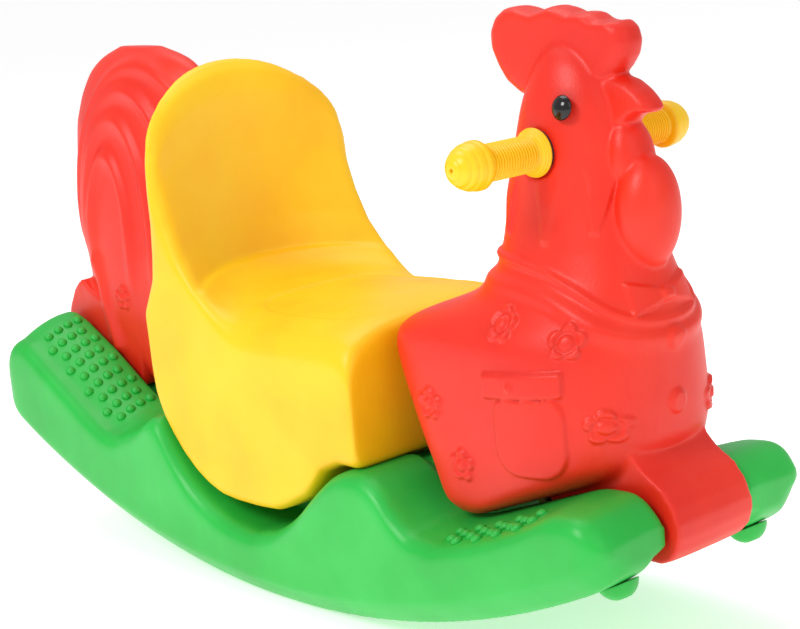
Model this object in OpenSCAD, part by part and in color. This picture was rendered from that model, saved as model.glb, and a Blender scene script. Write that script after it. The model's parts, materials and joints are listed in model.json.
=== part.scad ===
// Rocking rooster: a blow-moulded ride-on toy on one curved base.
// +X is the way the beak points, +Y is the rider's left, +Z is up.
// The origin is on the floor, under the middle of the rocker's arc.

/* [Rocker base] */
// Radius of the arc that the base rocks on
rocker_r = 928; // [850:1:1000]
// Half the width of the base
base_half_w = 134; // [132:1:138]
// Half the width of the underside, between its two chamfers
sole_half_w = 112; // [108:1:118]
// Height of the parting edge above the arc
parting_h = 25; // [22:1:28]
// Depth of the hollow along the middle of the underside
sole_recess = 8; // [5:1:9]
// Wall of the base and of the saddle
wall = 3.5; // [2.5:0.1:4]
// Wall of the front body
body_wall = 3.5; // [3:0.1:4.5]
// Wall of the tail
tail_wall = 3; // [2.5:0.1:3.5]

/* [Saddle] */
// Half the width of the saddle
seat_half_w = 125; // [122:1:127]
// Height of the saddle's middle
seat_z = 282; // [275:1:284]
// Height of the backrest's top
back_top_z = 498; // [480:1:505]
// Height of the backrest's sides
back_side_z = 405; // [395:1:420]

/* [Handle] */
// Distance of the handle in front of the origin
handle_x = 310; // [308:1:312]
// Height of the handle
handle_z = 432; // [430:1:434]
// Overall half length of the handle
handle_half = 139; // [135:1:142]
// Diameter of the ribbed part of a grip
grip_d = 31; // [29:0.5:32]
// Diameter of the knob and of the collar
knob_d = 41; // [38:0.5:42]
// Diameter of the steel tube
tube_d = 19; // [18:0.5:19]
// Rings on each grip
rib_count = 17; // [12:1:20]

/* [Fasteners] */
// Diameter of the bolts' shanks
bolt_d = 8; // [6:1:8]
// Thickness of the floor that a bolt clamps
clamp_t = 6; // [5:1:8]

/* [Hidden] */
$fn = 48;

green = [0.20, 0.83, 0.32];
red = [0.93, 0.21, 0.16];
yellow = [1.00, 0.80, 0.05];
steel = [0.75, 0.76, 0.78];
brass = [0.80, 0.65, 0.30];

// Channel along the middle of the base, and the feet and keels that stand in it
channel_half_w = 52;
keel_half_w = 47;
notch_x = 388;
slack = 60;
// The base stands on stations this far apart, with one flat of that length at x = 0
station = 22;
front_end = 432;
rear_end = -445;

// Heights along the base: outer edge, edge beside the channel, and channel floor
side_top = [
    [-445, 160], [-437, 184], [-418, 204], [-395, 204], [-340, 172], [-288, 143],
    [-262, 130], [-238, 126], [-196, 137], [-160, 154], [-138, 160], [-127, 150],
    [-118, 131], [-98, 94], [-64, 72], [-21, 65], [14, 70], [51, 88], [78, 107],
    [102, 131], [122, 145], [150, 149], [168, 141], [185, 122], [205, 108],
    [240, 106], [290, 118], [344, 138], [375, 152], [405, 153], [424, 144], [432, 134]
];
inner_top = [
    [-445, 166], [-434, 206], [-412, 224], [-389, 217], [-332, 190], [-286, 162],
    [-250, 142], [-196, 140], [-160, 154], [-138, 160], [-127, 150], [-118, 131],
    [-98, 94], [-64, 72], [-21, 65], [14, 70], [51, 88], [78, 107], [102, 131],
    [122, 145], [150, 149], [168, 141], [185, 124], [205, 112], [240, 115],
    [332, 145], [375, 157], [405, 157], [424, 149], [432, 140]
];
// The saddle's flat land and the two slopes that the keels stand on
seat_land_z = 88;
seat_land = [-55, 11];
front_slope = [[209, 93], [385, 138]];
rear_slope = [[-385, 195], [-231, 112]];
channel_top = [
    [-445, 176], rear_slope[0], rear_slope[1], [-196, 126], [-160, 150], [-138, 156],
    [-127, 148], [-118, 131], [-98, 94], [-70, 76], [seat_land[0], seat_land_z],
    [seat_land[1], seat_land_z], [26, 76], [51, 88], [78, 107], [102, 131], [122, 143],
    [150, 145], [185, 116], front_slope[0], front_slope[1], [432, 138]
];

// Bolt places: [x, height of the joint face, lean of the face in degrees]
function on_slope(x, line) = [
    x, lookup(x, line), -atan2(line[1][1] - line[0][1], line[1][0] - line[0][0])
];
front_bolt_at = [on_slope(250, front_slope), on_slope(340, front_slope)];
tail_bolt_at = [on_slope(-312, rear_slope), on_slope(-257, rear_slope)];
seat_bolt_at = [[-42, seat_land_z, 0], [-2, seat_land_z, 0]];
well_r = 13;
boss_r = 12;
boss_h = 20;
insert_r = 7;
insert_h = 16;
washer_t = 1.6;
washer_r = 10;

// ---- shared geometry ----

function sign_pow(v, p) = sign(v) * pow(abs(v), p);
function arc_z(x) = rocker_r - sqrt(rocker_r * rocker_r - x * x);
function unit(v) = v / max(norm(v), 0.001);

// A closed solid through rings with the same even number of points, each running
// clockwise when seen from the last ring. Point j of a ring faces point n-1-j, and
// the two end caps are ladders between such pairs.
module loft(rings) {
    n = len(rings[0]);
    last = (len(rings) - 1) * n;
    points = [for (ring = rings) each ring];
    skin = [
        for (i = [0 : len(rings) - 2], j = [0 : n - 1])
            let (k = (j + 1) % n, a = i * n, b = a + n)
                each [[a + j, a + k, b + k], [a + j, b + k, b + j]]
    ];
    first_cap = [
        for (j = [0 : n / 2 - 2])
            each [[j + 1, j, n - 1 - j], [j + 1, n - 1 - j, n - 2 - j]]
    ];
    last_cap = [for (f = first_cap) [last + f[0], last + f[2], last + f[1]]];
    polyhedron(points = points, faces = concat(skin, first_cap, last_cap), convexity = 6);
}

// Each point of a ring moved towards the one that it faces
function drawn_in(ring, by) = let (n = len(ring)) [
    for (j = [0 : n - 1])
        ring[j] + unit(ring[n - 1 - j] - ring[j])
            * min(by, 0.45 * norm(ring[n - 1 - j] - ring[j]))
];

// Children stand on a sloping joint face, with their own +Z along its normal
module stand_at(place) {
    translate([place[0], 0, place[1]]) rotate([0, place[2], 0]) children();
}

// ---- rocker base ----

fillet = 16;
// Inner edge of the two rails on the underside
rail_in = 70;
// Half-round plan corners at the ends of the lobes, and how much of them shows
end_round = 26;
end_share = 0.55;

function base_half(x) =
    let (left = max(0, end_round - min(front_end - x, x - rear_end)))
        base_half_w - end_share * (end_round - sqrt(end_round * end_round - left * left));

function base_ring(x, inset = 0) =
    let (
        w = base_half(x) - inset,
        sole = arc_z(x) + inset,
        side = max(lookup(x, side_top) - inset, sole + parting_h + 8),
        inner = max(lookup(x, inner_top) - inset, sole + parting_h + 8),
        floor_z = lookup(x, channel_top) - inset,
        c = channel_half_w + inset,
        f = min(fillet, side - sole - parting_h - 2),
        half_top = [
            [w, sole + parting_h], [w, side - f],
            for (a = [30, 60]) [w - f * (1 - cos(a)), side - f * (1 - sin(a))],
            [w - f, side], [c + 6, inner], [c, floor_z]
        ],
        half_sole = [
            [w - (base_half_w - sole_half_w), sole], [92, sole], [rail_in + inset, sole],
            [rail_in - 8, sole + sole_recess], [44, sole + sole_recess],
            [28, sole + sole_recess], [10, sole + sole_recess]
        ]
    )
    concat(
        [for (p = half_top) [x, -p[0], p[1]]],
        [for (i = [6 : -1 : 0]) [x, half_top[i][0], half_top[i][1]]],
        [for (p = half_sole) [x, p[0], p[1]]],
        [for (i = [6 : -1 : 0]) [x, -half_sole[i][0], half_sole[i][1]]]
    );

function stations(low, high) = concat(
    [low],
    [for (i = [ceil(low / station - 0.2) : floor(high / station + 0.2) - 1])
        (i + 0.5) * station],
    [high]
);

// The closed space inside one lobe, beyond the notch
function lobe_ring(x) =
    let (
        w = base_half(x) - wall,
        sole = arc_z(x) + wall,
        side = lookup(x, side_top) - wall,
        f = min(fillet, side - sole - parting_h - 2),
        inner_y = channel_half_w + 6 + wall
    )
    [
        [x, inner_y, lookup(x, inner_top) - wall], [x, w - f, side], [x, w, side - f],
        [x, w, sole + parting_h], [x, w - (base_half_w - sole_half_w), sole],
        [x, inner_y, sole + sole_recess]
    ];

module lobe_space(side, low, high) {
    mirror([0, side > 0 ? 0 : 1, 0]) loft([for (x = stations(low, high)) lobe_ring(x)]);
}

module bolt_well(place) {
    stand_at(place) translate([0, 0, -clamp_t - 140]) cylinder(r = well_r, h = 140);
}

stop_at = [406, 82];
stop_lean = asin(stop_at[0] / rocker_r);
stop_r = 17;
stop_h = 12;
stem_r = 5;

module stop_frame(side) {
    translate([stop_at[0], side * stop_at[1], arc_z(stop_at[0])]) rotate([0, -stop_lean, 0])
        children();
}

module rocker_base() {
    color(green) difference() {
        loft([for (x = stations(rear_end, front_end)) base_ring(x)]);
        difference() {
            loft([for (x = stations(-notch_x + wall + 2, notch_x - wall - 2)) base_ring(x, wall)]);
            for (place = concat(front_bolt_at, seat_bolt_at, tail_bolt_at))
                stand_at(place) translate([0, 0, -160]) cylinder(r = well_r + wall, h = 180);
        }
        for (side = [-1, 1]) {
            lobe_space(side, notch_x + wall, front_end - 10);
            lobe_space(side, rear_end + 8, -notch_x - wall);
            stop_frame(side) translate([0, 0, -1]) cylinder(r = stem_r + 0.1, h = 11);
        }
        for (end = [notch_x, -notch_x - slack])
            translate([end, -channel_half_w, 0]) cube([slack, 2 * channel_half_w, 300]);
        for (place = concat(front_bolt_at, seat_bolt_at, tail_bolt_at)) {
            bolt_well(place);
            stand_at(place) translate([0, 0, -clamp_t - 1]) cylinder(d = bolt_d + 1, h = clamp_t + 9);
        }
    }
}

// ---- front body ----

body_half_w = 93;
// Where the wide part of each section lies, low down and in the head
body_mid_x = 285;
head_mid_x = 316;
// Levels: [z, rear x, front x, half width, sharpness of the rear, of the front]
body_levels = [
    [130, 214, 252, 60, 0.8, 0.8], [139, 206, 292, 78, 0.7, 0.7],
    [152, 197, 334, 86, 0.7, 0.7], [166, 188, 382, 90, 0.65, 0.7],
    [182, 180, 395, 92, 0.65, 0.75], [200, 173, 399, 93, 0.65, 0.8],
    [230, 162, 399, 93, 0.65, 0.8], [256, 154, 397, 91, 0.65, 0.8],
    [272, 160, 395, 88, 0.7, 0.85], [286, 178, 394, 83, 0.75, 0.85],
    [297, 203, 392, 77, 0.85, 0.9], [308, 226, 388, 70, 0.9, 0.95],
    [332, 238, 392, 61, 1, 1.1], [352, 246, 402, 54, 1, 1.5],
    [380, 251, 409, 48, 1, 1.7], [402, 254, 404, 46, 1, 1.7],
    [418, 257, 390, 45, 1, 1.3], [436, 261, 380, 44, 1, 1],
    [452, 266, 384, 42, 1, 1.2], [465, 269, 404, 40, 1, 1.8],
    [480, 262, 393, 37, 1.2, 1.6], [493, 240, 375, 31, 1.4, 1.2],
    [505, 229, 384, 24, 1.3, 1.2], [520, 225, 391, 19, 1, 1],
    [534, 234, 382, 16, 1, 1], [543, 254, 362, 11, 1, 1], [547, 275, 335, 5, 1, 1]
];

// A level's outline, with its points in facing pairs from front to rear
function level_ring(level, mid_x, inset, points = 36) = [
    for (j = [0 : points - 1])
        let (a = -(j + 0.5) * 360 / points,
            reach = (cos(a) > 0 ? level[2] - mid_x : mid_x - level[1]) - inset)
            [
                mid_x + reach * sign_pow(cos(a), cos(a) > 0 ? level[5] : level[4]),
                (level[3] - inset) * sign_pow(sin(a), 0.9),
                level[0]
            ]
];

function mid_of(level) = level[0] < 300
    ? min(body_mid_x, (level[1] + level[2]) / 2) : head_mid_x;

module body_form(inset = 0) {
    last = len(body_levels) - 1;
    picked = inset == 0 ? [0 : last] : [2 : last - 2];
    loft([for (i = picked) level_ring(body_levels[i], mid_of(body_levels[i]), inset)]);
}

// The keel in the channel, and the foot that hooks down in front of the base
front_foot = [
    [232, 210], [232, lookup(232, front_slope)], front_slope[1], [390, 139],
    [393, 108], [401, 100], [424, 101], [440, 116], [445, 138], [432, 160],
    [402, 178], [380, 210]
];
front_foot_space = [
    [238, 230], [238, lookup(238, front_slope) + body_wall], [388, 142], [396, 140],
    [398, 110], [404, 105], [421, 106], [435, 118], [439, 137], [428, 156],
    [398, 174], [370, 230]
];

module upright(outline, half_w) {
    translate([0, half_w, 0]) rotate([90, 0, 0]) linear_extrude(2 * half_w) polygon(outline);
}

module along_handle(side) {
    translate([handle_x, 0, handle_z]) rotate([-90 * side, 0, 0]) children();
}

recess_at = 42;
recess_r = 22.5;
bush_r = 12.5;
eye_at = [340, 38, 468];
eye_r = 9;
eye_stem_r = 3;
eye_turn = 78;

module eye_frame(side) {
    translate([eye_at[0], side * eye_at[1], eye_at[2]]) rotate([-side * eye_turn, 0, 0])
        children();
}

module insert_boss(place) {
    stand_at(place) translate([0, 0, -1]) cylinder(r = boss_r, h = boss_h + 1);
}

module insert_hole(place) {
    stand_at(place) translate([0, 0, -1]) cylinder(r = insert_r, h = insert_h + 1);
}

// The outside of the moulding, as wide as the body is
module body_outside() {
    resize([0, 2 * body_half_w, 0]) union() {
        body_form();
        upright(front_foot, keel_half_w);
    }
}

// The hollow inside it, without the bosses and the wall round the handle's tunnel
module body_hollow() {
    difference() {
        resize([0, 2 * (body_half_w - body_wall), 0]) union() {
            body_form(body_wall);
            upright(front_foot_space, keel_half_w - body_wall);
        }
        for (place = front_bolt_at) insert_boss(place);
        along_handle(1) translate([0, 0, -60]) cylinder(r = recess_r + body_wall, h = 120);
    }
}

module front_body() {
    color(red) difference() {
        body_outside();
        body_hollow();
        for (place = front_bolt_at) insert_hole(place);
        along_handle(1) translate([0, 0, -60]) cylinder(r = bush_r, h = 120);
        for (side = [-1, 1]) {
            along_handle(side) translate([0, 0, recess_at]) cylinder(r = recess_r, h = 20);
            eye_frame(side) translate([0, 0, -9]) cylinder(r = eye_stem_r, h = 14);
        }
    }
}

module eye(side) {
    color("black") eye_frame(side) {
        intersection() {
            translate([0, 0, -2]) sphere(r = eye_r);
            translate([0, 0, 3]) cylinder(r = eye_r, h = eye_r);
        }
        translate([0, 0, -8]) cylinder(r = eye_stem_r, h = 12);
    }
}

module right_eye() eye(-1);
module left_eye() eye(1);

// ---- saddle ----

// Points on the backrest: [x, height as a share of the way from its root to its top]
back_root_z = 272;
back_front = [[-160, 1], [-147, 0.9], [-149, 0.7], [-147, 0.42], [-136, 0.14]];
back_rear = [[-168, 1], [-180, 0.9], [-184, 0.7], [-184, 0.44], [-176, 0.16]];
// The saddle's top and front, and the underside that faces it, from the rear
seat_upper = [
    [-116, seat_z + 12], [-98, seat_z + 4], [-84, seat_z + 1], [-66, seat_z - 1],
    [-48, seat_z - 2], [-28, seat_z - 2], [-8, seat_z - 2], [20, seat_z - 1],
    [50, seat_z], [76, seat_z + 1], [104, seat_z + 1], [132, seat_z - 2], [140, seat_z - 14]
];
seat_under = [
    [-158, 262], [-134, 238], [-125, 215], [-114, 146], [-98, 122], [-79, 103],
    [seat_land[0], seat_land_z], [seat_land[1], seat_land_z], [41, 105], [67, 117],
    [84, 140], [108, 151], [140, 151]
];
side_round = 16;
round_from = 0.86;

function seat_ring(y, inset = 0) =
    let (
        s = min(1, abs(y) / (seat_half_w - inset)),
        top = back_side_z + (back_top_z - back_side_z) * sqrt(1 - s * s) - inset,
        rim = 34 * s * s,
        sag = 24 * pow(s, 4),
        front = concat(
            [for (p = back_front) [p[0] + rim, back_root_z + (top - back_root_z) * p[1]]],
            [for (p = seat_upper) [p[0] + (p[0] < -60 ? rim * 0.5 : 0), p[1] - sag]]
        ),
        rear = concat(
            [for (p = back_rear) [
                p[0] + rim * min(1.15, 0.5 + 1.6 * p[1]), back_root_z + (top - back_root_z) * p[1]
            ]],
            seat_under
        ),
        late = max(0, s - round_from) / (1 - round_from),
        round_in = side_round * (1 - sqrt(1 - late * late)),
        ring = concat(front, [for (i = [len(rear) - 1 : -1 : 0]) rear[i]])
    )
    [for (p = drawn_in(ring, inset + round_in)) [min(p[0], 140 - inset), y, p[1]]];

module seat_form(inset = 0) {
    side = seat_half_w - inset;
    loft([for (t = [80 : -10 : -80]) seat_ring(side * sin(t) / sin(80), inset)]);
}

module seat_shell() {
    color(yellow) difference() {
        seat_form();
        difference() {
            seat_form(wall);
            for (place = seat_bolt_at) insert_boss(place);
        }
        for (place = seat_bolt_at) insert_hole(place);
    }
}

// ---- tail ----

tail_half_w = 50;
tail_mid_x = -315;
tail_levels = [
    [124, -242, -210, 40, 0.8, 0.8], [140, -272, -201, 46, 0.8, 0.8],
    [170, -327, -198, 47, 0.8, 0.8], [196, -376, -197, 47, 0.8, 0.8],
    [212, -406, -197, 48, 0.8, 0.8],
    [232, -418, -197, 50, 0.8, 0.8], [262, -430, -196, 50, 0.85, 0.8],
    [300, -437, -195, 48, 0.9, 0.8], [345, -444, -195, 44, 0.95, 0.85],
    [394, -444, -195, 40, 1, 0.9], [430, -439, -196, 35, 1, 0.9],
    [460, -424, -198, 30, 1, 1], [484, -405, -210, 24, 1, 1],
    [500, -380, -240, 17, 1, 1], [510, -350, -272, 9, 1, 1], [513, -330, -300, 4, 1, 1]
];
rear_foot = [
    [-245, 150], [-245, lookup(-245, rear_slope)], rear_slope[0], [-390, 197], [-394, 128],
    [-404, 118], [-428, 120], [-442, 136], [-445, 170], [-440, 222], [-418, 250], [-380, 232]
];
rear_foot_space = [
    [-262, 168], [-262, lookup(-262, rear_slope) + 5], [-384, 200], [-396, 199], [-399, 131],
    [-406, 123], [-426, 125], [-437, 138], [-440, 170], [-435, 220], [-414, 244], [-380, 240]
];

module tail_form(inset = 0) {
    last = len(tail_levels) - 1;
    picked = inset == 0 ? [0 : last] : [1 : last - 2];
    loft([for (i = picked) let (level = tail_levels[i])
        level_ring(level, max(tail_mid_x, (level[1] + level[2]) / 2), inset)]);
}

module tail_outside() {
    resize([0, 2 * tail_half_w, 0]) union() {
        tail_form();
        upright(rear_foot, keel_half_w);
    }
}

module tail_hollow() {
    difference() {
        resize([0, 2 * (tail_half_w - tail_wall), 0]) union() {
            tail_form(tail_wall);
            upright(rear_foot_space, keel_half_w - tail_wall);
        }
        for (place = tail_bolt_at) insert_boss(place);
    }
}

module tail_shell() {
    color(red) difference() {
        tail_outside();
        tail_hollow();
        for (place = tail_bolt_at) insert_hole(place);
    }
}

// ---- handle ----

tube_half = 122;
tube_wall = 1.5;
ring_at = 112;
ring_w = 1.6;
running = 0.05;

module handle_tube() {
    color(steel) along_handle(1) difference() {
        translate([0, 0, -tube_half]) cylinder(d = tube_d, h = 2 * tube_half);
        translate([0, 0, -tube_half - 1]) cylinder(d = tube_d - 2 * tube_wall, h = 2 * tube_half + 2);
        for (side = [-1, 1])
            translate([0, 0, side * ring_at - ring_w / 2]) difference() {
                cylinder(d = tube_d + 4, h = ring_w);
                translate([0, 0, -1]) cylinder(d = tube_d - 1.6, h = ring_w + 2);
            }
    }
}

// Flanged plastic bush that holds the tube in the head
module bush(side) {
    color("dimgray") along_handle(side) difference() {
        union() {
            translate([0, 0, 28]) cylinder(r = bush_r, h = recess_at - 28);
            translate([0, 0, recess_at]) cylinder(r = 19, h = 2.5);
        }
        translate([0, 0, 27]) cylinder(d = tube_d, h = 20);
    }
}

module right_bush() bush(-1);
module left_bush() bush(1);

// Spring ring in the tube's groove; it keeps the grip on
module snap_ring(side) {
    color(steel) along_handle(side) translate([0, 0, ring_at - ring_w / 2 + 0.1])
        difference() {
            cylinder(r = tube_d / 2 + 1.4, h = ring_w - 0.2);
            translate([0, 0, -1]) cylinder(r = tube_d / 2 - 0.8, h = ring_w + 2);
        }
}

module right_snap_ring() snap_ring(-1);
module left_snap_ring() snap_ring(1);

collar_at = 45;
rib_from = 55;
knob_from = 106;
rib_depth = 1.4;

// Collar, ringed sleeve and stepped knob, turning on the tube
module grip(side) {
    pitch = (knob_from - rib_from) / rib_count;
    bore_r = tube_d / 2 + running;
    color(yellow) along_handle(side) rotate_extrude() polygon(concat(
        [
            [bore_r, collar_at], [knob_d / 2 - 1, collar_at], [knob_d / 2, collar_at + 1],
            [knob_d / 2 - 0.5, collar_at + 3], [grip_d / 2 + 2.5, collar_at + 5],
            [grip_d / 2, rib_from]
        ],
        [for (i = [0 : rib_count - 1]) let (z = rib_from + i * pitch) each [
            [grip_d / 2, z + 0.55 * pitch], [grip_d / 2 - rib_depth, z + 0.66 * pitch],
            [grip_d / 2 - rib_depth, z + 0.86 * pitch], [grip_d / 2, z + 0.98 * pitch]
        ]],
        [
            [knob_d / 2 - 1.5, knob_from + 1.5], [knob_d / 2, knob_from + 4],
            [knob_d / 2, knob_from + 10], [knob_d / 2 - 1, knob_from + 11],
            [knob_d / 2 - 1, knob_from + 18], [knob_d / 2 - 2.5, knob_from + 20],
            [knob_d / 2 - 3, knob_from + 25], [knob_d / 2 - 5.5, knob_from + 28],
            [knob_d / 2 - 9.5, handle_half - 2], [8, handle_half - 0.7], [1.8, handle_half],
            [1.8, tube_half + 3], [bore_r, tube_half + 3],
            [bore_r, ring_at + 1.6], [tube_d / 2 + 1.9, ring_at + 1.6],
            [tube_d / 2 + 1.9, ring_at - 1.6], [bore_r, ring_at - 1.6]
        ]
    ));
}

module right_grip() grip(-1);
module left_grip() grip(1);

// ---- stops under the front lobes ----

module front_stop(side) {
    color(green) stop_frame(side) {
        translate([0, 0, -stop_h]) intersection() {
            translate([0, 0, stop_h + 5]) sphere(r = stop_r + 1);
            cylinder(r = stop_r, h = stop_h);
        }
        cylinder(r = stem_r, h = 9);
    }
}

module right_front_stop() front_stop(-1);
module left_front_stop() front_stop(1);

// ---- fasteners under the base ----

// Flanged hexagon-head bolt, up through the base's floor into the insert
module bolt_at(place) {
    stand_at(place) translate([0, 0, -clamp_t - washer_t]) difference() {
        union() {
            cylinder(d = bolt_d, h = clamp_t + washer_t + insert_h - 3);
            translate([0, 0, -1.2]) cylinder(r = bolt_d, h = 1.2);
            translate([0, 0, -6]) cylinder(r = bolt_d * 0.9, h = 5, $fn = 6);
        }
    }
}

module washer_at(place) {
    stand_at(place) translate([0, 0, -clamp_t - washer_t]) difference() {
        cylinder(r = washer_r, h = washer_t);
        translate([0, 0, -1]) cylinder(d = bolt_d + 0.6, h = washer_t + 2);
    }
}

module insert_at(place) {
    stand_at(place) difference() {
        cylinder(r = insert_r, h = insert_h);
        translate([0, 0, -1]) cylinder(d = bolt_d + 0.1, h = insert_h + 2);
    }
}

module front_bolts() { color(steel) for (place = front_bolt_at) bolt_at(place); }
module seat_bolts() { color(steel) for (place = seat_bolt_at) bolt_at(place); }
module tail_bolts() { color(steel) for (place = tail_bolt_at) bolt_at(place); }
module front_washers() { color(steel) for (place = front_bolt_at) washer_at(place); }
module seat_washers() { color(steel) for (place = seat_bolt_at) washer_at(place); }
module tail_washers() { color(steel) for (place = tail_bolt_at) washer_at(place); }
module front_inserts() { color(brass) for (place = front_bolt_at) insert_at(place); }
module seat_inserts() { color(brass) for (place = seat_bolt_at) insert_at(place); }
module tail_inserts() { color(brass) for (place = tail_bolt_at) insert_at(place); }

rocker_base();
front_body();
seat_shell();
tail_shell();
right_eye();
left_eye();
handle_tube();
right_bush();
left_bush();
right_snap_ring();
left_snap_ring();
right_grip();
left_grip();
right_front_stop();
left_front_stop();
front_bolts();
seat_bolts();
tail_bolts();
front_washers();
seat_washers();
tail_washers();
front_inserts();
seat_inserts();
tail_inserts();
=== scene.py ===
"""Looks of the rocking rooster: four blow-moulded shells, grips, eyes and fittings.

Shapes are in millimetres in the part's own frame and become metres when a mesh is made.
+X is the way the beak points, +Y is the rider's left, +Z is up.
"""
import json
import math

import bmesh
import bpy
import numpy as np
from mathutils import Matrix, Vector


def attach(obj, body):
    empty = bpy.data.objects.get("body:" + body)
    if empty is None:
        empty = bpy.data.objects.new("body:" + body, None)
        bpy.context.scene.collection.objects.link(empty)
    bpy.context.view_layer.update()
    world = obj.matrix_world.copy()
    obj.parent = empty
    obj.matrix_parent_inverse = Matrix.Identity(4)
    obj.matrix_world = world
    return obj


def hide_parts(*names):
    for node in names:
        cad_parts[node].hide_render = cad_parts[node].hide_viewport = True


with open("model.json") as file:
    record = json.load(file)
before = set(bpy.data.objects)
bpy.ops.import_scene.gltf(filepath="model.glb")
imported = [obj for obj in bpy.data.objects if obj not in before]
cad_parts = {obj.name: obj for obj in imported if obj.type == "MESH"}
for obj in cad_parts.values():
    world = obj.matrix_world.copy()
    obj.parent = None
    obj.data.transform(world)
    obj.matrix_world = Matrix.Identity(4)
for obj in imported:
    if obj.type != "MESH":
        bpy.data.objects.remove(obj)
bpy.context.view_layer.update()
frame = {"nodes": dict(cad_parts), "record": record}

MM = 0.001
ROCKER_R = 928.0
BASE_HALF_W = 134.0
SOLE_INSET = 22.0
PARTING_H = 25.0
CHANNEL_HALF_W = 52.0
NOTCH_X = 388.0
BASE_FRONT, BASE_REAR = 432.0, -448.0
SEAT_HALF_W = 125.0
HANDLE_X, HANDLE_Z = 310.0, 432.0


# ---- shared geometry ----

def profile(knots, spread):
    """A smooth curve through given knots: straight runs softened over `spread` mm."""
    xs, ys = np.array(knots, float).T
    grid = np.arange(xs[0] - 4 * spread, xs[-1] + 4 * spread + 1)
    raw = np.interp(grid, xs, ys)
    offsets = np.arange(-3 * spread, 3 * spread + 1)
    weights = np.exp(-0.5 * (offsets / spread) ** 2)
    padded = np.pad(raw, len(offsets) // 2, mode="edge")
    soft = np.convolve(padded, weights / weights.sum(), mode="valid")[: len(grid)]
    return lambda at: np.interp(at, grid, soft)


def mesh_from(name, verts, faces):
    data = bpy.data.meshes.new(name)
    data.from_pydata([tuple(c * MM for c in v) for v in verts], [], faces)
    data.update()
    obj = bpy.data.objects.new(name, data)
    bpy.context.collection.objects.link(obj)
    return obj


def faces_between(rings):
    """The quads that join each closed ring to the next."""
    n = len(rings[0])
    faces = []
    for i in range(len(rings) - 1):
        for j in range(n):
            k = (j + 1) % n
            faces.append((i * n + j, i * n + k, (i + 1) * n + k, (i + 1) * n + j))
    return faces


def lofted(name, rings):
    """A closed skin over rings of equal length, with fans at both ends."""
    n = len(rings[0])
    verts = [tuple(p) for ring in rings for p in ring]
    faces = faces_between(rings)
    for start, order in ((0, -1), ((len(rings) - 1) * n, 1)):
        centre = np.mean(verts[start:start + n], axis=0)
        verts.append(tuple(centre))
        for j in range(n):
            pair = (start + j, start + (j + 1) % n)
            faces.append((*pair[::order], len(verts) - 1))
    return mesh_from(name, verts, faces)


def slab(name, outline, half_w, taper=0.0, steps=6):
    """An upright plate from an XZ outline, with its two faces drawn in towards its middle."""
    outline = np.array(outline, float)
    centre = outline.mean(axis=0)
    rings = []
    for t in np.linspace(-1, 1, 2 * steps + 1):
        size = 1 - taper * abs(t) ** 3
        pts = centre + (outline - centre) * size
        rings.append([(x, half_w * t, z) for x, z in pts])
    return lofted(name, rings)


def object_of(name, bm):
    """A linked object with the bmesh's shape; the bmesh is freed."""
    data = bpy.data.meshes.new(name)
    bm.to_mesh(data)
    bm.free()
    obj = bpy.data.objects.new(name, data)
    bpy.context.collection.objects.link(obj)
    return obj


def ball(name, centre, radii, lean=0.0):
    """An ellipsoid, leaned by `lean` degrees about Y."""
    bm = bmesh.new()
    bmesh.ops.create_icosphere(bm, subdivisions=4, radius=1)
    spin = Matrix.Rotation(math.radians(lean), 4, "Y")
    stretch = Matrix.Diagonal([*(r * MM for r in radii), 1])
    move = Matrix.Translation(Vector(centre) * MM) @ spin @ stretch
    bmesh.ops.transform(bm, matrix=move, verts=bm.verts)
    return object_of(name, bm)


def turned(name, outline, place, points):
    """A turned shape: outline holds (distance along the axis, radius), place(along, r, a) a point."""
    verts, faces = [], []
    n = len(outline)
    for j in range(points):
        a = 2 * math.pi * j / points
        verts += [place(along, r, a) for along, r in outline]
    for j in range(points):
        k = (j + 1) % points
        for i in range(n - 1):
            faces.append((j * n + i, j * n + i + 1, k * n + i + 1, k * n + i))
    obj = mesh_from(name, verts, faces)
    bm = bmesh.new()
    bm.from_mesh(obj.data)
    bmesh.ops.remove_doubles(bm, verts=bm.verts, dist=1e-6)
    bmesh.ops.recalc_face_normals(bm, faces=bm.faces)
    bm.to_mesh(obj.data)
    bm.free()
    return obj


def outward(obj):
    """Turns every face's normal outwards."""
    bm = bmesh.new()
    bm.from_mesh(obj.data)
    bmesh.ops.recalc_face_normals(bm, faces=bm.faces)
    bm.to_mesh(obj.data)
    bm.free()


def applied(obj):
    """The object's modifiers become its mesh."""
    graph = bpy.context.evaluated_depsgraph_get()
    graph.update()
    data = bpy.data.meshes.new_from_object(obj.evaluated_get(graph))
    obj.modifiers.clear()
    old, obj.data = obj.data, data
    bpy.data.meshes.remove(old)


def joined(name, parts):
    """One object from several, each kept as its own shell."""
    bm = bmesh.new()
    for part in parts:
        outward(part)
        bm.from_mesh(part.data)
        bpy.data.objects.remove(part)
    return object_of(name, bm)


def reskinned(obj, voxel):
    """Gives the object one even skin of about `voxel` mm squares."""
    remesh = obj.modifiers.new("skin", "REMESH")
    remesh.mode = "VOXEL"
    remesh.voxel_size = voxel * MM
    applied(obj)


def fused(name, parts, voxel, smooth, cut=()):
    """One skin round overlapping parts, less the cutters, with its joints smoothed."""
    obj = joined(name, parts)
    reskinned(obj, voxel)
    for cutter in cut:
        outward(cutter)
        difference = obj.modifiers.new("cut", "BOOLEAN")
        difference.operation = "DIFFERENCE"
        difference.solver = "EXACT"
        difference.object = cutter
        applied(obj)
        bpy.data.objects.remove(cutter)
    if cut:
        reskinned(obj, voxel)
    soften = obj.modifiers.new("soften", "SMOOTH")
    soften.factor = 0.5
    soften.iterations = smooth
    applied(obj)
    return obj


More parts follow.
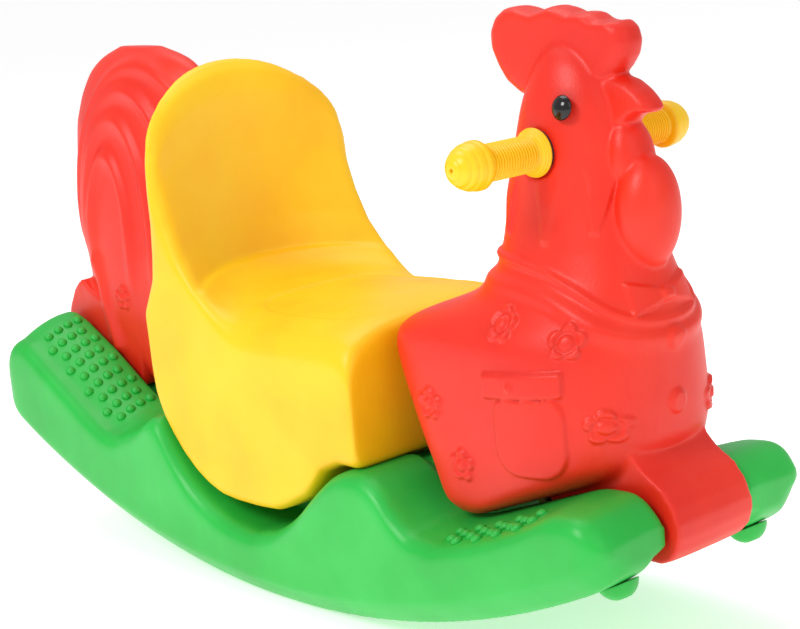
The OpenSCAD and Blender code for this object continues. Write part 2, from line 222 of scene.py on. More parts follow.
def points_of(obj):
    """The mesh's points in mm, and its point normals."""
    co = np.empty(len(obj.data.vertices) * 3)
    obj.data.vertices.foreach_get("co", co)
    no = np.empty(len(co))
    obj.data.vertices.foreach_get("normal", no)
    return co.reshape(-1, 3) / MM, no.reshape(-1, 3)


def emboss(obj, height):
    """Moves each point along its normal by height(points, normals), in mm."""
    pts, normals = points_of(obj)
    moved = pts + normals * height(pts, normals)[:, None]
    obj.data.vertices.foreach_set("co", (moved * MM).ravel())
    obj.data.update()


def smoothstep(low, high, value):
    """0 below low, 1 above high, and a soft rise between."""
    t = np.clip((value - low) / (high - low), 0, 1)
    return t * t * (3 - 2 * t)


def bell(distance, width):
    return np.exp(-(distance / width) ** 2)


def finish_piece(obj, material, nodes, body="frame"):
    """Gives the piece its material, ties it to its body and hides its CAD nodes."""
    obj.data.materials.clear()
    obj.data.materials.append(material)
    obj.data.polygons.foreach_set("use_smooth", [True] * len(obj.data.polygons))
    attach(obj, body)
    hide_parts(*nodes)


# ---- materials ----

def shader_tree(name):
    """A new material, its node tree and its shader."""
    material = bpy.data.materials.new(name)
    material.use_nodes = True
    tree = material.node_tree
    return material, tree, tree.nodes["Principled BSDF"]


def noise(tree, vector, scale, detail=None):
    """A noise texture's Fac output; `vector` is the output socket that drives it."""
    texture = tree.nodes.new("ShaderNodeTexNoise")
    texture.inputs["Scale"].default_value = scale
    if detail is not None:
        texture.inputs["Detail"].default_value = detail
    tree.links.new(vector, texture.inputs["Vector"])
    return texture.outputs["Fac"]


def ranged(tree, value, low, high):
    """A 0 to 1 output mapped to low to high."""
    span = tree.nodes.new("ShaderNodeMapRange")
    span.inputs["To Min"].default_value = low
    span.inputs["To Max"].default_value = high
    tree.links.new(value, span.inputs["Value"])
    return span.outputs["Result"]


def bumped(tree, height, strength, distance, below=None):
    """The normal of a bump over `height`, laid on another normal when one is given."""
    bump = tree.nodes.new("ShaderNodeBump")
    bump.inputs["Strength"].default_value = strength
    bump.inputs["Distance"].default_value = distance
    tree.links.new(height, bump.inputs["Height"])
    if below is not None:
        tree.links.new(below, bump.inputs["Normal"])
    return bump.outputs["Normal"]


def moulded_plastic(name, colour, light, dark, streak_axis, roughness=0.40, grain=0.12):
    """Polyethylene: slightly mottled colour, a painted highlight on high edges, fine orange-peel skin and
    faint tooling lines.
    """
    material, tree, bsdf = shader_tree(name)
    new, link = tree.nodes.new, tree.links.new
    at = new("ShaderNodeTexCoord").outputs["Object"]
    ramp = new("ShaderNodeValToRGB")
    ramp.color_ramp.elements[0].position = 0.30
    ramp.color_ramp.elements[0].color = (*dark, 1)
    ramp.color_ramp.elements[1].position = 0.72
    ramp.color_ramp.elements[1].color = (*light, 1)
    middle = ramp.color_ramp.elements.new(0.5)
    middle.color = (*colour, 1)
    link(noise(tree, at, 9.0, 5.0), ramp.inputs["Fac"])
    # painted highlight: high, sharp edges made paler than the plastic's own colour
    geometry = new("ShaderNodeNewGeometry")
    edges = new("ShaderNodeMapRange")
    edges.inputs["From Min"].default_value = 0.53
    edges.inputs["From Max"].default_value = 0.62
    edges.inputs["To Max"].default_value = 0.35
    link(geometry.outputs["Pointiness"], edges.inputs["Value"])
    # this mix paints the edge highlight into the colour
    painted_edge_highlight = new("ShaderNodeMix")
    painted_edge_highlight.data_type = "RGBA"
    link(edges.outputs["Result"], painted_edge_highlight.inputs["Factor"])
    link(ramp.outputs["Color"], painted_edge_highlight.inputs["A"])
    painted_edge_highlight.inputs["B"].default_value = (*[min(1, c * 1.15 + 0.05) for c in light], 1)
    link(painted_edge_highlight.outputs["Result"], bsdf.inputs["Base Color"])
    # roughness with broad soft patches
    gloss = ranged(tree, noise(tree, at, 26.0, 3.0), roughness - 0.05, roughness + 0.10)
    link(gloss, bsdf.inputs["Roughness"])
    # orange peel, with tooling lines over it
    stretch = new("ShaderNodeMapping")
    stretch.inputs["Scale"].default_value = streak_axis
    link(at, stretch.inputs["Vector"])
    peel = bumped(tree, noise(tree, at, 420.0, 2.0), grain, 0.0006)
    lines = bumped(tree, noise(tree, stretch.outputs["Vector"], 1.0, 1.0), 0.22, 0.0008, below=peel)
    link(lines, bsdf.inputs["Normal"])
    bsdf.inputs["Specular IOR Level"].default_value = 0.45
    return material


def plain_finish(name, colour, roughness, metallic=0.0, scale=300.0):
    """A small fitting's finish: fine speckle in colour, roughness and bump."""
    material, tree, bsdf = shader_tree(name)
    new, link = tree.nodes.new, tree.links.new
    speckle = noise(tree, new("ShaderNodeTexCoord").outputs["Object"], scale)
    ramp = new("ShaderNodeValToRGB")
    ramp.color_ramp.elements[0].color = (*[c * 0.8 for c in colour], 1)
    ramp.color_ramp.elements[1].color = (*[min(1, c * 1.15) for c in colour], 1)
    link(speckle, ramp.inputs["Fac"])
    link(ramp.outputs["Color"], bsdf.inputs["Base Color"])
    link(ranged(tree, speckle, roughness * 0.8, roughness * 1.25), bsdf.inputs["Roughness"])
    link(bumped(tree, speckle, 0.05, 0.0004), bsdf.inputs["Normal"])
    bsdf.inputs["Metallic"].default_value = metallic
    return material


GREEN = moulded_plastic("green_polyethylene", (0.016, 0.48, 0.055), (0.026, 0.55, 0.075),
                        (0.011, 0.41, 0.042), (60, 900, 60), roughness=0.36)
RED = moulded_plastic("red_polyethylene", (0.82, 0.022, 0.006), (0.88, 0.036, 0.011),
                      (0.74, 0.016, 0.005), (900, 900, 14))
YELLOW = moulded_plastic("yellow_polyethylene", (1.0, 0.58, 0.002), (1.0, 0.64, 0.008),
                         (0.97, 0.50, 0.001), (40, 500, 40), roughness=0.42)
GRIP = moulded_plastic("yellow_grip", (1.0, 0.60, 0.004), (1.0, 0.66, 0.012),
                       (0.97, 0.52, 0.002), (300, 40, 300), roughness=0.34)
EYE = plain_finish("eye_black", (0.008, 0.007, 0.007), 0.10)
BUSH = plain_finish("bush_nylon", (0.03, 0.03, 0.03), 0.45)
STEEL = plain_finish("zinc_steel", (0.62, 0.63, 0.65), 0.32, metallic=1.0)
BRASS = plain_finish("brass", (0.72, 0.52, 0.20), 0.35, metallic=1.0)


# ---- rocker base ----

SIDE_TOP = profile([
    (-448, 172), (-438, 194), (-420, 208), (-397, 208), (-340, 174), (-288, 143),
    (-262, 130), (-238, 127), (-200, 142), (-178, 156), (-166, 160), (-157, 152),
    (-147, 137), (-136, 120), (-124, 106), (-108, 92), (-92, 82), (-70, 73), (-45, 68),
    (-21, 66), (14, 74), (35, 86), (53, 99), (70, 115), (86, 129), (104, 143), (124, 151),
    (148, 153), (168, 143), (185, 123), (205, 108), (240, 106), (290, 120), (344, 142),
    (375, 158), (405, 161), (420, 156), (432, 144)], 5)
INNER_TOP = profile([
    (-448, 180), (-436, 214), (-414, 228), (-389, 221), (-332, 191), (-286, 162),
    (-250, 143), (-200, 143), (-178, 156), (-166, 160), (-157, 152), (-147, 137),
    (-136, 120), (-124, 106), (-108, 92), (-92, 82), (-70, 73), (-45, 68), (-21, 66),
    (14, 74), (35, 86), (53, 99), (70, 115), (86, 129), (104, 143), (124, 150), (148, 152),
    (168, 142), (185, 124), (205, 112), (240, 115), (332, 147), (375, 162), (405, 164),
    (420, 158), (432, 147)], 5)
CHANNEL_TOP = profile([
    (-448, 176), (-385, 193), (-231, 110), (-200, 124), (-178, 146), (-167, 150),
    (-157, 142), (-147, 128), (-136, 112), (-124, 99), (-108, 87), (-92, 78), (-70, 74),
    (-52, 86), (8, 86), (26, 74), (53, 90), (70, 107), (86, 122), (104, 137), (122, 144),
    (150, 145), (185, 114), (209, 91), (385, 136), (432, 136)], 4)
BASE_FILLET = 17.0
END_ROUND = 30.0
BUMP_RADII = (5.2, 5.2, 4.0)
STAGGER = 6.3


def arc_z(x):
    """Height of the rocking arc above the floor."""
    return ROCKER_R - math.sqrt(ROCKER_R ** 2 - x * x)


def base_ring(x):
    """One YZ section: sole with two rails, chamfer, parting edge, side, rounded top, channel."""
    left = max(0.0, END_ROUND - min(BASE_FRONT - x, x - BASE_REAR))
    draw_in = END_ROUND - math.sqrt(END_ROUND ** 2 - left * left)
    w = BASE_HALF_W - 0.6 * draw_in
    sole = arc_z(x) + 0.35 * draw_in
    drop = 0.3 * draw_in
    side = max(float(SIDE_TOP(x)) - drop, sole + 16)
    inner = max(float(INNER_TOP(x)) - drop, side)
    parting = min(sole + PARTING_H, side - 9)
    channel = float(CHANNEL_TOP(x))
    f = min(BASE_FILLET, side - parting - 1)
    half = [(w - SOLE_INSET, sole), (w - 14.5, sole + 6.5), (w - 6, sole + 16), (w, parting)]
    half += [(w, parting + (side - f - parting) * t) for t in (0.33, 0.66, 1.0)]
    half += [(w - f * (1 - math.cos(a)), side - f * (1 - math.sin(a)))
             for a in np.radians([15, 30, 45, 60, 75, 90])]
    span = w - f - CHANNEL_HALF_W - 6
    for t in (0.2, 0.4, 0.6, 0.8, 1.0):
        ease = 1 - (1 - t) ** 2
        half.append((w - f - span * t, side + (inner - side) * ease))
    half += [(CHANNEL_HALF_W + 2, inner - 1.5), (CHANNEL_HALF_W, inner - 5),
             (CHANNEL_HALF_W, channel + 3), (CHANNEL_HALF_W - 3, channel), (20, channel)]
    under = [(10, sole + 8), (40, sole + 8), (60, sole + 8), (70, sole), (90, sole)]
    return ([(x, y, z) for y, z in half] + [(x, -y, z) for y, z in reversed(half)]
            + [(x, -y, z) for y, z in reversed(under)] + [(x, y, z) for y, z in under])


def box_cutter(name, low, high):
    """A box between two opposite corners."""
    (x0, y0, z0), (x1, y1, z1) = low, high
    verts = [(x, y, z) for x in (x0, x1) for y in (y0, y1) for z in (z0, z1)]
    faces = [(0, 1, 3, 2), (4, 6, 7, 5), (0, 4, 5, 1), (2, 3, 7, 6), (0, 2, 6, 4), (1, 5, 7, 3)]
    return mesh_from(name, verts, faces)


def bump_drop(x, y):
    """How far the lobe's top falls from its inner edge towards its side, at y."""
    side, inner = float(SIDE_TOP(x)), float(INNER_TOP(x))
    w = BASE_HALF_W - BASE_FILLET
    t = np.clip((w - y) / (w - CHANNEL_HALF_W - 6), 0, 1)
    return (inner - side) * (1 - t) ** 2


def foot_bumps(xs, ys):
    """Staggered rows of small domes that stand on the foot rests."""
    bumps = []
    for row, x in enumerate(xs):
        slope = (float(INNER_TOP(x + 4)) - float(INNER_TOP(x - 4))) / 8
        lean = math.degrees(math.atan(slope))
        for y in ys:
            y_at = y + (STAGGER if row % 2 else 0)
            z = float(INNER_TOP(x)) - bump_drop(x, y_at)
            for side in (-1, 1):
                bumps.append(ball("bump", (x, side * y_at, z), BUMP_RADII, -lean))
    return bumps


def rocker_base():
    """The rocking base: lobes, channel, notches for the two feet, and domed foot rests."""
    xs = np.concatenate([[BASE_REAR], np.arange(BASE_REAR + 2, BASE_FRONT - 1, 4.0), [BASE_FRONT]])
    body = lofted("base_form", [base_ring(x) for x in xs])
    cutters = []
    for name, x0, x1 in (("front_notch", NOTCH_X, NOTCH_X + 90), ("rear_notch", -NOTCH_X - 90, -NOTCH_X)):
        cutters.append(box_cutter(name, (x0, -CHANNEL_HALF_W, 20), (x1, CHANNEL_HALF_W, 300)))
    obj = fused("rocker_base_moulding", [body], 2.6, 5, cutters)
    domes = foot_bumps(np.arange(-388, -262, 15.6), (66, 78.6, 91.2, 103.8))
    domes += foot_bumps(np.arange(246, 346, 12.4), (102, 113))
    obj = joined("rocker_base_moulding", [obj, *domes])
    finish_piece(obj, GREEN, ["rocker_base"])


# ---- front body ----

BODY_MID, HEAD_MID = 285.0, 316.0
RECESS_OUTLINE = [(42, 0), (42, 22.5), (60, 22.5), (60, 0)]
BODY_LEVELS = [
    # z, rear x, front x, half width, sharpness of the rear, of the front
    (120, 215, 248, 76, 0.42, 0.6), (126, 209, 268, 87, 0.36, 0.62), (134, 204, 292, 92, 0.33, 0.64),
    (146, 198, 326, 94, 0.31, 0.66), (160, 191, 368, 95, 0.30, 0.70), (178, 182, 396, 96, 0.30, 0.74),
    (200, 172, 405, 96, 0.30, 0.77), (230, 160, 408, 96, 0.30, 0.79), (256, 150, 408, 96, 0.32, 0.81),
    (270, 147, 408, 95, 0.34, 0.82), (280, 149, 407, 93, 0.38, 0.83), (288, 160, 406, 88, 0.45, 0.84),
    (296, 184, 405, 82, 0.58, 0.85), (305, 208, 404, 74, 0.75, 0.86), (316, 226, 401, 67, 0.85, 0.9),
    (330, 234, 397, 61, 0.9, 0.95), (352, 240, 390, 55, 1, 1), (380, 245, 383, 49, 1, 1),
    (404, 250, 378, 46, 1, 1), (424, 255, 374, 44.5, 1, 1), (446, 262, 371, 43, 1, 1),
    (466, 269, 368, 41, 1, 1), (484, 277, 362, 37, 1, 1), (500, 286, 353, 31, 1, 1),
    (512, 296, 341, 23, 1, 1), (519, 307, 330, 13, 1, 1), (521, 314, 322, 5, 1, 1)]
COMB_OUTLINE = [
    (262, 474), (247, 484), (238, 497), (231, 512), (231, 526), (238, 538), (249, 545),
    (262, 546.5), (274, 543), (284, 541), (295, 544), (306, 546.5), (318, 544), (328, 540),
    (338, 541), (348, 540), (358, 534), (366, 533), (376, 534), (384, 528), (387, 517),
    (384, 506), (376, 496), (366, 488), (340, 470), (300, 462)]
BEAK = [
    (352, 492), (368, 491), (382, 487), (394, 479), (403, 470), (406, 464), (403, 461),
    (394, 461), (384, 456), (374, 448), (360, 444), (345, 450), (340, 480)]
FRONT_FOOT = [
    (300, 220), (300, 124), (386, 139), (391, 136), (393, 112), (397, 104), (404, 101),
    (420, 101), (430, 105), (438, 114), (442, 126), (442, 138), (437, 152), (426, 166),
    (408, 177), (398, 186), (388, 205)]


def level_ring(level, mid, points=96):
    """One level XY section: a rounded box whose ends can be sharper or rounder."""
    z, rear, front, half_w, p_rear, p_front = level
    ring = []
    for j in range(points):
        a = (j + 0.5) * 2 * math.pi / points
        c, s = math.cos(a), math.sin(a)
        reach, power = (front - mid, p_front) if c > 0 else (mid - rear, p_rear)
        ring.append((mid + reach * math.copysign(abs(c) ** power, c),
                     half_w * math.copysign(abs(s) ** min(0.9, power + 0.06), s), z))
    return ring


def dense_levels(levels, step, spread):
    """The given levels as a close, softened stack."""
    columns = np.array(levels, float)
    zs = np.arange(columns[0, 0], columns[-1, 0] + 0.1, step)
    curves = [profile(list(zip(columns[:, 0], columns[:, i])), spread) for i in range(1, 6)]
    return [(z, *(float(curve(z)) for curve in curves)) for z in zs]


def body_mid(z, rear, front):
    """Where each level is widest: amidships in the trunk, at the crown in the head."""
    share = float(smoothstep(280, 330, np.array(z)))
    return min(BODY_MID, (rear + front) / 2) * (1 - share) + HEAD_MID * share


def front_body():
    """Trunk, neck and head as one skin with comb, beak, wattle and front foot."""
    rings = [level_ring(level, body_mid(*level[:3])) for level in dense_levels(BODY_LEVELS, 3, 4)]
    parts = [
        lofted("trunk", rings),
        slab("comb", COMB_OUTLINE, 17, taper=0.16),
        slab("beak", BEAK, 14, taper=0.30),
        slab("foot", FRONT_FOOT, 47, taper=0.02, steps=8),
        ball("wattle", (388, 0, 380), (25.5, 29, 48), 4),
        ball("wattle_root", (375, 0, 424), (16, 22, 34), -8),
    ]
    recess = [handle_round("recess", side, RECESS_OUTLINE) for side in (-1, 1)]
    obj = fused("front_body_moulding", parts, 1.8, 7, recess)
    emboss(obj, body_relief)
    finish_piece(obj, RED, ["front_body"])


def flower(x, z, at, radius=15.0):
    """Five rounded petals about a button."""
    r = np.hypot(x - at[0], z - at[1])
    angle = np.arctan2(z - at[1], x - at[0]) - 0.3
    edge = radius * (0.70 + 0.30 * np.abs(np.cos(2.5 * angle)))
    petals = 1 - smoothstep(edge - 2.0, edge + 0.6, r)
    return 3.8 * petals - 2.6 * bell(r - 7.2, 1.9) + 0.8 * (1 - smoothstep(3.5, 5.5, r))


def rounded_patch(x, z, centre, half, corner):
    """1 inside a rounded rectangle, falling to 0 over its edge."""
    dx = np.abs(x - centre[0]) - half[0] + corner
    dz = np.abs(z - centre[1]) - half[1] + corner
    outside = np.hypot(np.maximum(dx, 0), np.maximum(dz, 0)) + np.minimum(np.maximum(dx, dz), 0)
    return 1 - smoothstep(corner - 1.8, corner + 1.2, outside)


BODY_FLOWERS = [(296, 295), (360, 285), (213, 219), (248, 170), (386, 216)]
APRON_BAND = profile([(225, 322), (300, 321), (335, 316), (362, 304), (386, 291), (408, 281), (430, 278)], 6)
APRON_RIB = profile([(225, 344), (290, 342), (330, 335), (358, 323), (385, 306), (408, 293), (430, 288)], 6)
FEATHERS = [(272, 361), (322, 358), (364, 366)]
FLAP_CENTRE, FLAP_HALF, FLAP_SLOPE = (320, 248), (39, 10.5), 0.09
POUCH_CENTRE, POUCH_HALF = (326, 208), (34, 37)
POCKET_BUTTON = (313, 246)
BOW_Z, BOW_HALF_W = 315, 36
CHEST_BUTTONS_Z = (279, 226)


def body_relief(pts, normals):
    """Flowers, a pocket, an apron edge, a bow, buttons and neck feathers, on both sides alike."""
    x, y, z = pts.T
    flank = smoothstep(0.25, 0.6, np.abs(normals[:, 1]))
    chest = smoothstep(0.25, 0.6, normals[:, 0]) * smoothstep(380, 392, x)
    rise = np.zeros(len(pts))
    for at in BODY_FLOWERS:
        rise += flank * flower(x, z, at)
    level = z - FLAP_SLOPE * (x - FLAP_CENTRE[0])
    flap = rounded_patch(x, level, FLAP_CENTRE, FLAP_HALF, 3)
    pouch = rounded_patch(x, z, POUCH_CENTRE, POUCH_HALF, 24)
    from_button = np.hypot(x - POCKET_BUTTON[0], z - POCKET_BUTTON[1])
    button = 1.8 * (1 - smoothstep(2.5, 4.5, from_button))
    rise += flank * np.where(flap > 0.02, 4.4 * flap + button, 2.8 * pouch * (level < 238))
    above_shoulder = np.minimum(smoothstep(300, 311, z) + smoothstep(335, 350, x), 1)
    apron = 4.6 * bell(z - APRON_BAND(x), 8) + 3.6 * bell(z - APRON_RIB(x), 3.6)
    rise += above_shoulder * apron
    for tip_x, tip_z in FEATHERS:
        up = z - tip_z
        half = 3 + 9 * np.clip(up / 55, 0, 1)
        inside = (1 - smoothstep(half - 2, half + 2, np.abs(x - tip_x))) * smoothstep(-2, 3, up)
        rise += 3.0 * flank * inside * (1 - smoothstep(25, 60, up))
    off_bow = np.abs(z - BOW_Z) - 4 - 0.28 * np.abs(y)
    bow = (1 - smoothstep(-2, 1.5, off_bow)) * (1 - smoothstep(BOW_HALF_W - 4, BOW_HALF_W, np.abs(y)))
    knot = 1 - smoothstep(5, 8, np.hypot(y, z - BOW_Z))
    rise += chest * (3.4 * bow + 2.4 * knot)
    for button_z in CHEST_BUTTONS_Z:
        rise += 3.2 * chest * (1 - smoothstep(7, 12, np.hypot(y, z - button_z)))
    return rise


# ---- saddle ----

# backrest outlines are (x, share of its height)
BACK_FRONT = [(-160, 1.0), (-150, 0.95), (-147, 0.86), (-149, 0.7), (-148, 0.5), (-145, 0.3), (-136, 0.13)]
BACK_REAR = [(-168, 1.0), (-177, 0.95), (-182, 0.86), (-184, 0.7), (-184, 0.5), (-182, 0.3), (-179, 0.16)]
WING_SHARES = ((0.13, 0.3, 0.5, 0.7, 1.0), (66, 50, 36, 26, 18))
BACK_ROOT_Z = 272.0
SEAT_UPPER = [
    (-128, 302), (-118, 294), (-106, 288), (-94, 284), (-82, 282), (-70, 281), (-58, 280), (-46, 280),
    (-34, 280), (-22, 280), (-6, 280), (14, 281), (38, 282), (56, 282), (72, 283), (88, 283),
    (104, 283), (120, 282), (132, 279), (138, 273), (140, 262)]
SEAT_UNDER = [
    (-174, 262), (-173, 235), (-172, 205), (-169, 180), (-160, 158), (-147, 140), (-132, 123),
    (-114, 108), (-95, 97), (-75, 90), (-52, 88), (-20, 88), (9, 90), (30, 98), (46, 106), (60, 113),
    (71, 124), (85, 141), (108, 151), (134, 151), (140, 157)]


BACK_SIDE_Z, BACK_RISE = 405, 93


def seat_ring(y):
    """One XZ section of the saddle: over the backrest and seat, then back along the underside."""
    s = min(1.0, abs(y) / SEAT_HALF_W)
    arch = math.sqrt(1 - s * s)
    top = BACK_SIDE_Z + BACK_RISE * arch
    rim = 34 * s * s
    sag = 24 * s ** 4
    wing = s * s
    front = [(x + wing * np.interp(h, *WING_SHARES), BACK_ROOT_Z + (top - BACK_ROOT_Z) * h)
             for x, h in BACK_FRONT]
    for x, z in SEAT_UPPER:
        near_back = float(1 - smoothstep(-128, 10, np.array(x)))
        front.append((x + wing * 64 * near_back, z - sag * (1 - 0.45 * near_back)))
    rear = [(x + rim * min(1.15, 0.5 + 1.6 * h), BACK_ROOT_Z + (top - BACK_ROOT_Z) * h)
            for x, h in BACK_REAR]
    rear += SEAT_UNDER
    late = max(0.0, s - 0.88) / 0.12
    round_in = 15 * (1 - math.sqrt(1 - late * late))
    a, b = np.array(front), np.array(rear)
    gap = b - a
    reach = np.linalg.norm(gap, axis=1)[:, None]
    step = gap / reach * np.minimum(round_in, 0.46 * reach)
    ring = np.concatenate([a + step, (b - step)[::-1]])
    return [(x, y, z) for x, z in ring]


def seat_shell():
    """The saddle with its backrest, one skin from side to side."""
    ys = [SEAT_HALF_W * math.sin(t) for t in np.radians(np.linspace(-90, 90, 61))]
    rings = [seat_ring(y) for y in ys]
    verts = [p for ring in rings for p in ring]
    faces = faces_between(rings)
    n = len(rings[0])
    last = (len(rings) - 1) * n
    for j in range(n // 2 - 1):
        faces.append((j + 1, j, n - 1 - j, n - 2 - j))
        faces.append((last + j, last + j + 1, last + n - 2 - j, last + n - 1 - j))
    obj = fused("saddle_moulding", [mesh_from("saddle_form", verts, faces)], 2.4, 16)
    emboss(obj, seat_relief)
    finish_piece(obj, YELLOW, ["seat_shell"])


def seat_relief(pts, normals):
    """A shallow seat panel with a soft edge."""
    x, y, z = pts.T
    edge = ((x - 36) / 84) ** 4 + (y / 88) ** 4
    return -1.6 * smoothstep(0.5, 0.8, normals[:, 2]) * (1 - smoothstep(0.93, 1.05, edge)) * (z > 240)


# ---- tail ----

TAIL_MID = -315.0
TAIL_LEVELS = [
    (124, -242, -210, 40, 0.8, 0.8), (140, -272, -202, 46, 0.8, 0.8), (170, -327, -199, 47, 0.8, 0.8),
    (196, -376, -198, 47, 0.8, 0.8), (212, -404, -197, 48, 0.8, 0.8), (232, -414, -197, 50, 0.8, 0.8),
    (262, -416, -196, 50, 0.85, 0.8), (296, -417, -195, 48, 0.9, 0.8), (304, -424, -195, 47, 0.9, 0.8),
    (345, -432, -195, 44, 0.95, 0.85), (394, -434, -195, 40, 1, 0.9), (430, -429, -194, 36, 1, 0.9),
    (460, -415, -195, 31, 1, 1), (484, -396, -203, 26, 1, 1), (500, -372, -224, 19, 1, 1),
    (509, -346, -258, 11, 1, 1), (513, -324, -286, 4, 1, 1)]
REAR_FOOT = [
    (-300, 200), (-300, 152), (-385, 196), (-390, 192), (-394, 134), (-398, 125), (-406, 120),
    (-422, 120), (-434, 128), (-441, 144), (-443, 170), (-440, 200), (-432, 228), (-418, 250),
    (-400, 262)]


def tail_shell():
    """The upright tail and its rear foot."""
    levels = dense_levels(TAIL_LEVELS, 3, 5)
    rings = [level_ring(level, max(TAIL_MID, (level[1] + level[2]) / 2)) for level in levels]
    parts = [lofted("tail_form", rings), slab("rear_foot", REAR_FOOT, 47, taper=0.02, steps=8)]
    obj = fused("tail_moulding", parts, 2.0, 6)
    emboss(obj, tail_relief)
    finish_piece(obj, RED, ["tail_shell"])


ARCH_FOOT_Z = 300
RIB_TOP, RIB_RUN, RIB_FALL = (-366, 282), 27, 88
TAIL_ARCHES = [
    # middle x, half width, height above their feet
    (-285, 125, 196), (-303, 92, 171), (-321, 64, 141), (-335, 40, 102)]


def tail_relief(pts, normals):
    """Nested feather arches, a slanting rib over the foot and one flower, on both sides alike."""
    x, y, z = pts.T
    flank = smoothstep(0.2, 0.6, np.abs(normals[:, 1]))
    rise = np.zeros(len(pts))
    for middle, half_w, height in TAIL_ARCHES:
        up = smoothstep(ARCH_FOOT_Z, ARCH_FOOT_Z + height, z)
        q = np.hypot((x - middle) / half_w, np.maximum(z - ARCH_FOOT_Z, 0) / height)
        distance = (q - 1) * (half_w + (height - half_w) * up * 0.6)
        rise += 6.2 * bell(distance + 3, 7.5) * smoothstep(225, 330, z)
    dx, dz = x - RIB_TOP[0], z - RIB_TOP[1]
    along = np.clip((dx * RIB_RUN - dz * RIB_FALL) / (RIB_RUN ** 2 + RIB_FALL ** 2), 0, 1)
    rise += 6.0 * bell(np.hypot(dx - RIB_RUN * along, dz + RIB_FALL * along), 9)
    return flank * (rise + flower(x, z, (-316, 249), 14))


# ---- handle and eyes ----

def handle_round(name, side, outline):
    """A turned shape about the handle's axis: outline is (distance outwards, radius)."""
    def place(out, r, a):
        return (HANDLE_X + r * math.cos(a), side * out, HANDLE_Z + r * math.sin(a))
    return turned(name, outline, place, points=72)


GRIP_R, BORE_R, RIB_DEPTH = 15.5, 9.6, 2.0
RIBS, RIB_FROM, KNOB_FROM = 17, 55.0, 106.0


def grip_outline():
    """Ridged collar, rounded rings, stepped knob and its vent, as the half section."""
    pts = [(45, BORE_R), (45, 19.5), (45.5, 20.3), (46.5, 20.5), (47.6, 20.2), (48.0, 19.2), (48.8, 19.3),
           (49.4, 18.9), (49.8, 17.9), (50.6, 17.9), (51.2, 17.4), (51.7, 16.4), (53, 15.9), (55, 15.5)]
    pitch = (KNOB_FROM - RIB_FROM) / RIBS
    for i in range(RIBS):
        start = RIB_FROM + i * pitch
        for t in np.linspace(0.08, 1, 9):
            pts.append((start + pitch * t, GRIP_R - RIB_DEPTH * abs(math.cos(math.pi * t)) ** 3))
    pts += [(107, 16.4), (108, 18.2), (109, 19.6), (110.5, 20.4), (113, 20.5), (115.4, 20.3),
            (116, 19.7), (116.8, 19.8), (119, 19.6), (122, 19.2), (123.6, 18.6), (124.2, 17.8),
            (125.2, 17.9), (127.5, 17.0), (129.4, 15.7), (130.2, 14.6), (131.2, 14.5), (133.6, 12.6),
            (135.6, 10.2), (136.4, 8.9), (137.2, 8.5), (138.3, 5.6), (138.8, 3.2), (138.8, 2.2),
            (138.2, 1.8), (126, 1.8), (126, BORE_R), (45, BORE_R)]
    return pts


def grip(side, label):
    """One ribbed sleeve with its collar and knob."""
    obj = handle_round(f"{label}_grip_moulding", side, grip_outline())
    finish_piece(obj, GRIP, [f"{label}_grip"], f"{label}_grip")


EYE_SPOT, EYE_LEAN, EYE_SEAT = (340, 38, 468), 78, 2.6
EYE_OUTLINE = [
    (-6, 0.0), (-6, 2.9), (0, 2.9), (0, 10.2), (0.8, 10.4), (1.5, 10.1), (2.6, 9.3), (4.2, 7.5),
    (5.4, 5.1), (6.2, 2.4), (6.4, 0)]


def eye(side, label):
    """A domed bead with a thin rim, its stem in the head."""
    spin = Matrix.Rotation(math.radians(-side * EYE_LEAN), 4, "X")
    x, y, z = EYE_SPOT
    base = Vector((x, side * y, z))

    def place(height, r, a):
        return tuple(base + spin @ Vector((r * math.cos(a), r * math.sin(a), height + EYE_SEAT)))
    obj = turned(f"{label}_eye_bead", EYE_OUTLINE, place, points=48)
    finish_piece(obj, EYE, [f"{label}_eye"])


def fittings():
    """The carried-over fittings keep their shape and get their finish."""
    finishes = {"zinc_steel": STEEL, "bush_plastic": BUSH, "brass_insert": BRASS, "green_stop": GREEN}
    for entry in frame["record"]["subparts"]:
        finish = finishes.get(entry["material_slot"])
        if finish:
            data = frame["nodes"][entry["node"]].data
            data.materials.clear()
            data.materials.append(finish)


# ---- scene ----

LAMPS = [
    # name, place in metres, size, watts
    ("key", (0.2, -2.8, 2.6), 1.2, 56), ("fill", (2.8, -0.4, 1.8), 2.0, 10),
    ("top", (-0.6, 0.4, 3.0), 2.0, 32)]
CAMERA_PLACE = (1.4270, -1.1662, 0.6570)
CAMERA_TURN = (49.26, 12.47, -5.14)


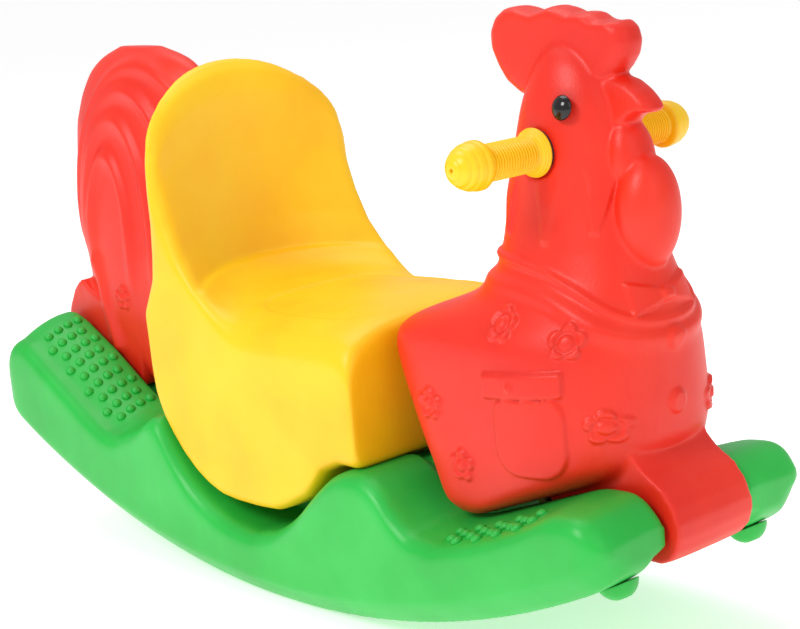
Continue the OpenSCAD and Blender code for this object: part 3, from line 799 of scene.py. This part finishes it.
def studio():
    """A pale floor, a white sky and three soft lamps."""
    reach = 30000
    corners = [(-reach, -reach, 0), (reach, -reach, 0), (reach, reach, 0), (-reach, reach, 0)]
    floor = mesh_from("floor", corners, [(0, 1, 2, 3)])
    material, _, bsdf = shader_tree("pale_floor")
    bsdf.inputs["Base Color"].default_value = (0.90, 0.90, 0.90, 1)
    bsdf.inputs["Roughness"].default_value = 0.9
    bsdf.inputs["Emission Color"].default_value = (1, 1, 1, 1)
    bsdf.inputs["Emission Strength"].default_value = 0.50
    floor.data.materials.append(material)
    world = bpy.data.worlds.new("studio")
    bpy.context.scene.world = world
    world.use_nodes = True
    sky = world.node_tree.nodes["Background"]
    sky.inputs["Color"].default_value = (1, 1, 1, 1)
    sky.inputs["Strength"].default_value = 0.52
    aim = Vector((0, 0, 0.25))
    for name, place, size, watts in LAMPS:
        light = bpy.data.lights.new(name, "AREA")
        light.energy = watts
        light.size = size
        lamp = bpy.data.objects.new(name, light)
        lamp.location = place
        lamp.rotation_euler = (aim - Vector(place)).to_track_quat("-Z", "Y").to_euler()
        bpy.context.collection.objects.link(lamp)


def camera():
    """Looks down at the toy from its front right, a little rolled."""
    azimuth, elevation, roll = (math.radians(a) for a in CAMERA_TURN)
    level_forward = Vector((-math.sin(azimuth), math.cos(azimuth), 0))
    forward = level_forward * math.cos(elevation) - Vector((0, 0, math.sin(elevation)))
    level_right = Vector((math.cos(azimuth), math.sin(azimuth), 0))
    level_up = level_right.cross(forward)
    right = level_right * math.cos(roll) + level_up * math.sin(roll)
    up = right.cross(forward)
    data = bpy.data.cameras.new("camera")
    data.lens = 88.2
    data.sensor_width = 36
    data.clip_end = 50
    cam = bpy.data.objects.new("camera", data)
    basis = Matrix((right, up, -forward)).transposed().to_4x4()
    cam.matrix_world = Matrix.Translation(CAMERA_PLACE) @ basis
    bpy.context.collection.objects.link(cam)
    bpy.context.scene.camera = cam


bpy.context.scene.view_settings.view_transform = "Standard"
camera()
studio()
rocker_base()
front_body()
seat_shell()
tail_shell()
for side_sign, side_name in ((-1, "right"), (1, "left")):
    grip(side_sign, side_name)
    eye(side_sign, side_name)
fittings()
